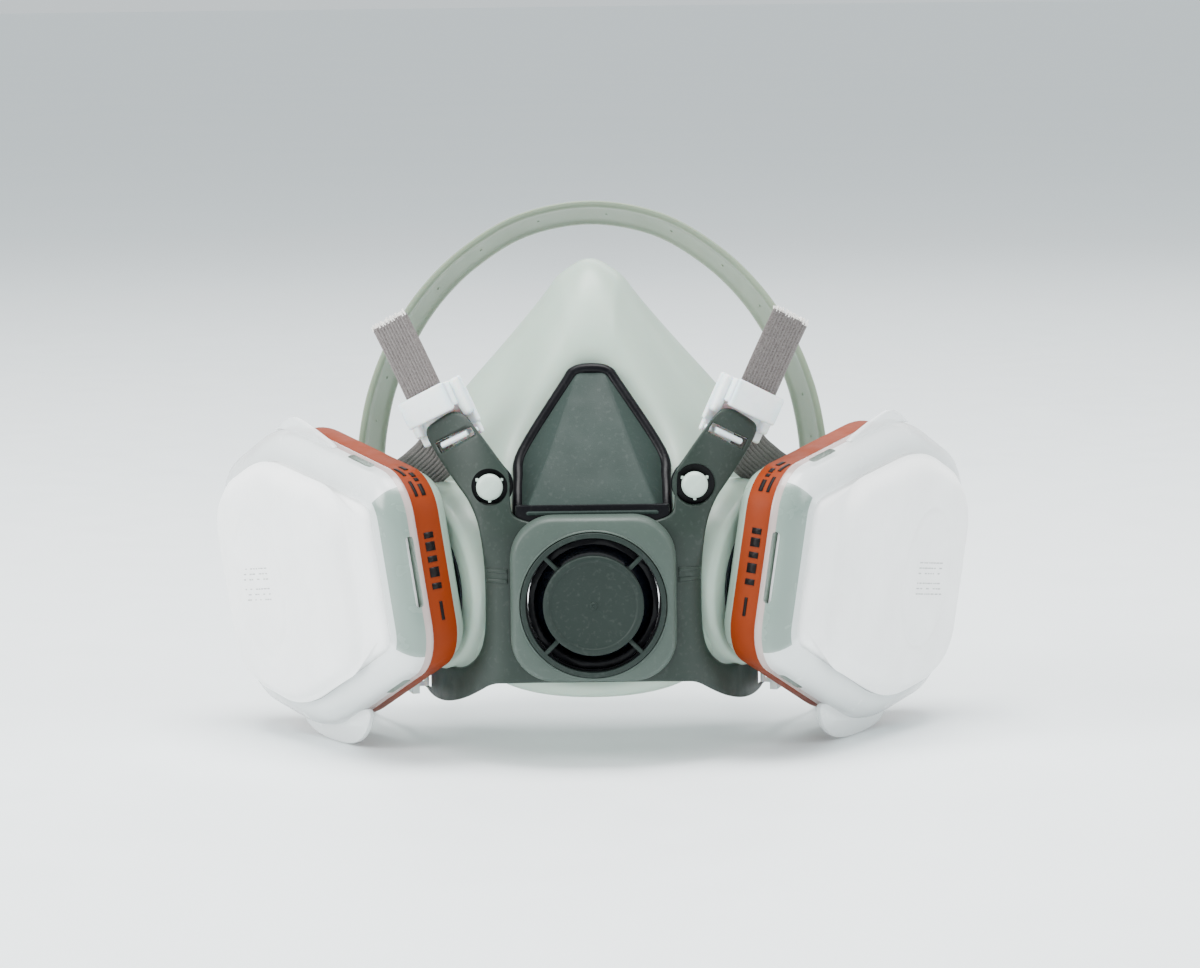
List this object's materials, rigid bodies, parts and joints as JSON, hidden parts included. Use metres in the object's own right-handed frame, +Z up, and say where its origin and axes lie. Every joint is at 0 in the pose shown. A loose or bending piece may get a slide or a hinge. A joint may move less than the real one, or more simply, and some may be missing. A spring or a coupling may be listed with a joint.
{
  "type": "half-mask respirator",
  "caption": "Reusable half mask with swept-back bayonet cartridges, clear prefilter retainers, exhalation valve, slotted yoke, buckled webbing and a head cradle.",
  "frame": {"origin": "on the floor under the middle of the whole mask", "axes": "+Z up, the mask faces -Y, X runs across its width"},
  "size_m": [0.215, 0.1374, 0.1452],
  "materials": {
    "seal_elastomer": "satin grey-green elastomer",
    "panel_plastic": "dark grey, fine grain",
    "housing_plastic": "mid grey, fine grain",
    "yoke_plastic": "dark grey, fine grain",
    "seat_plastic": "black",
    "valve_rubber": "glossy blue-black rubber",
    "stud_plastic": "pale",
    "buckle_plastic": "white, slightly translucent",
    "webbing": "ribbed elastic",
    "cradle_plastic": "grey-beige, flexible",
    "cartridge_plastic": "pale grey-green",
    "label_paper": "brown band, satin",
    "carbon_bed": "black granules",
    "retainer_plastic": "clear, frosted",
    "prefilter_felt": "white nonwoven felt"
  },
  "bodies": {
    "facepiece": {"face_seal": "seal_elastomer", "nose_panel": "panel_plastic", "valve_housing": "housing_plastic", "valve_seat": "seat_plastic", "harness_yoke": "yoke_plastic", "harness_stud_left": "stud_plastic", "harness_stud_right": "stud_plastic", "cheek_port_left": "housing_plastic", "cheek_port_right": "housing_plastic", "port_gasket_left": "valve_rubber", "port_gasket_right": "valve_rubber"},
    "exhalation_valve": {"exhalation_valve": "valve_rubber"},
    "valve_cover": {"valve_cover": "housing_plastic"},
    "head_harness": {"head_cradle": "cradle_plastic", "upper_strap_left": "webbing", "upper_strap_right": "webbing"},
    "inhalation_valve_left": {"inhalation_valve_left": "valve_rubber"},
    "cartridge_left": {"cartridge_shell_left": "cartridge_plastic", "carbon_bed_left": "carbon_bed", "bed_grille_left": "cartridge_plastic", "cartridge_label_left": "label_paper"},
    "retainer_left": {"retainer_left": "retainer_plastic", "prefilter_left": "prefilter_felt"},
    "upper_buckle_left": {"upper_buckle_left": "buckle_plastic"},
    "strap_tail_left": {"strap_tail_left": "webbing"},
    "neck_strap_left": {"lower_buckle_left": "buckle_plastic", "neck_strap_left": "webbing", "clasp_hook": "buckle_plastic"},
    "inhalation_valve_right": {"inhalation_valve_right": "valve_rubber"},
    "cartridge_right": {"cartridge_shell_right": "cartridge_plastic", "carbon_bed_right": "carbon_bed", "bed_grille_right": "cartridge_plastic", "cartridge_label_right": "label_paper"},
    "retainer_right": {"retainer_right": "retainer_plastic", "prefilter_right": "prefilter_felt"},
    "upper_buckle_right": {"upper_buckle_right": "buckle_plastic"},
    "strap_tail_right": {"strap_tail_right": "webbing"},
    "neck_strap_right": {"lower_buckle_right": "buckle_plastic", "neck_strap_right": "webbing", "clasp_loop": "buckle_plastic"}
  },
  "joints": [
    {"name": "exhalation_valve_lift", "type": "slide", "parent": "facepiece", "child": "exhalation_valve", "axis": [0, -1, 0], "range_m": [0, 0.0014], "stiffness_N_per_m": 20},
    {"name": "valve_cover_snap", "type": "slide", "parent": "facepiece", "child": "valve_cover", "axis": [0, -1, 0], "range_m": [0, 0.012]},
    {"name": "harness_tilt", "type": "hinge", "parent": "facepiece", "child": "head_harness", "pos_m": [0, -0.0426, 0.097], "axis": [1, 0, 0], "range_deg": [-12, 12], "deforming": ["upper_strap_left", "upper_strap_right"]},
    {"name": "inhalation_valve_lift_left", "type": "slide", "parent": "facepiece", "child": "inhalation_valve_left", "axis": [0.8355, 0.5426, 0.0872], "range_m": [0, 0.001], "stiffness_N_per_m": 20},
    {"name": "cartridge_twist_left", "type": "hinge", "parent": "facepiece", "child": "cartridge_left", "pos_m": [-0.0417, -0.0336, 0.0475], "axis": [0.8355, 0.5426, 0.0872], "range_deg": [0, 15]},
    {"name": "retainer_pull_left", "type": "slide", "parent": "cartridge_left", "child": "retainer_left", "axis": [-0.8355, -0.5426, -0.0872], "range_m": [0, 0.014]},
    {"name": "upper_buckle_tilt_left", "type": "hinge", "parent": "facepiece", "child": "upper_buckle_left", "pos_m": [-0.03617, -0.04982, 0.08703], "axis": [0.7293, -0.5468, 0.4112], "range_deg": [-15, 0]},
    {"name": "strap_tail_pull_left", "type": "slide", "parent": "upper_buckle_left", "child": "strap_tail_left", "axis": [-0.414, 0.1258, 0.9015], "range_m": [0, 0.012]},
    {"name": "neck_strap_swing_left", "type": "hinge", "parent": "facepiece", "child": "neck_strap_left", "pos_m": [-0.0463, -0.0194, 0.019], "axis": [0, 0, -1], "range_deg": [-8, 8]},
    {"name": "inhalation_valve_lift_right", "type": "slide", "parent": "facepiece", "child": "inhalation_valve_right", "axis": [-0.8355, 0.5426, 0.0872], "range_m": [0, 0.001], "stiffness_N_per_m": 20},
    {"name": "cartridge_twist_right", "type": "hinge", "parent": "facepiece", "child": "cartridge_right", "pos_m": [0.0417, -0.0336, 0.0475], "axis": [0.8355, -0.5426, -0.0872], "range_deg": [0, 15]},
    {"name": "retainer_pull_right", "type": "slide", "parent": "cartridge_right", "child": "retainer_right", "axis": [0.8355, -0.5426, -0.0872], "range_m": [0, 0.014]},
    {"name": "upper_buckle_tilt_right", "type": "hinge", "parent": "facepiece", "child": "upper_buckle_right", "pos_m": [0.03617, -0.04982, 0.08703], "axis": [0.7293, 0.5468, -0.4112], "range_deg": [-15, 0]},
    {"name": "strap_tail_pull_right", "type": "slide", "parent": "upper_buckle_right", "child": "strap_tail_right", "axis": [0.414, 0.1258, 0.9015], "range_m": [0, 0.012]},
    {"name": "neck_strap_swing_right", "type": "hinge", "parent": "facepiece", "child": "neck_strap_right", "pos_m": [0.0463, -0.0194, 0.019], "axis": [0, 0, 1], "range_deg": [-8, 8]}
  ]
}
